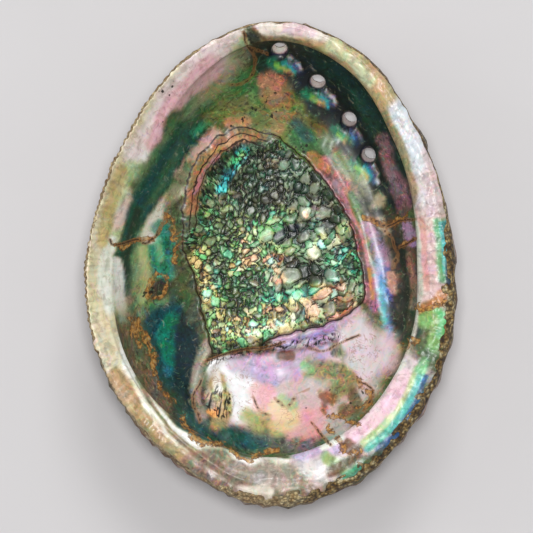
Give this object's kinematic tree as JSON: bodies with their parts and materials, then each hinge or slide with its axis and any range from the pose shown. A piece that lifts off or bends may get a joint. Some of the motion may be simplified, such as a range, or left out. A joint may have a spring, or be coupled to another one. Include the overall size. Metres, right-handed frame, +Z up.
{
  "type": "abalone shell",
  "caption": "Open ear-shaped shell bowl with a pearly inside, a rough muscle scar, a row of breathing holes and a crusted rim; holds small things or is shown as a natural find.",
  "frame": {"origin": "middle of the outline in plan, on the plane that the shell rests on", "axes": "+Z up out of the mouth, +Y to the front where the shell grows and the newest hole is, +X to the pillar side with the shelf and the row of holes"},
  "size_m": [0.1218, 0.1596, 0.0473],
  "materials": {
    "shell": "pearly nacre inside, rough brown and green crust outside"
  },
  "bodies": {
    "root": {"abalone_shell": "shell"}
  },
  "joints": []
}
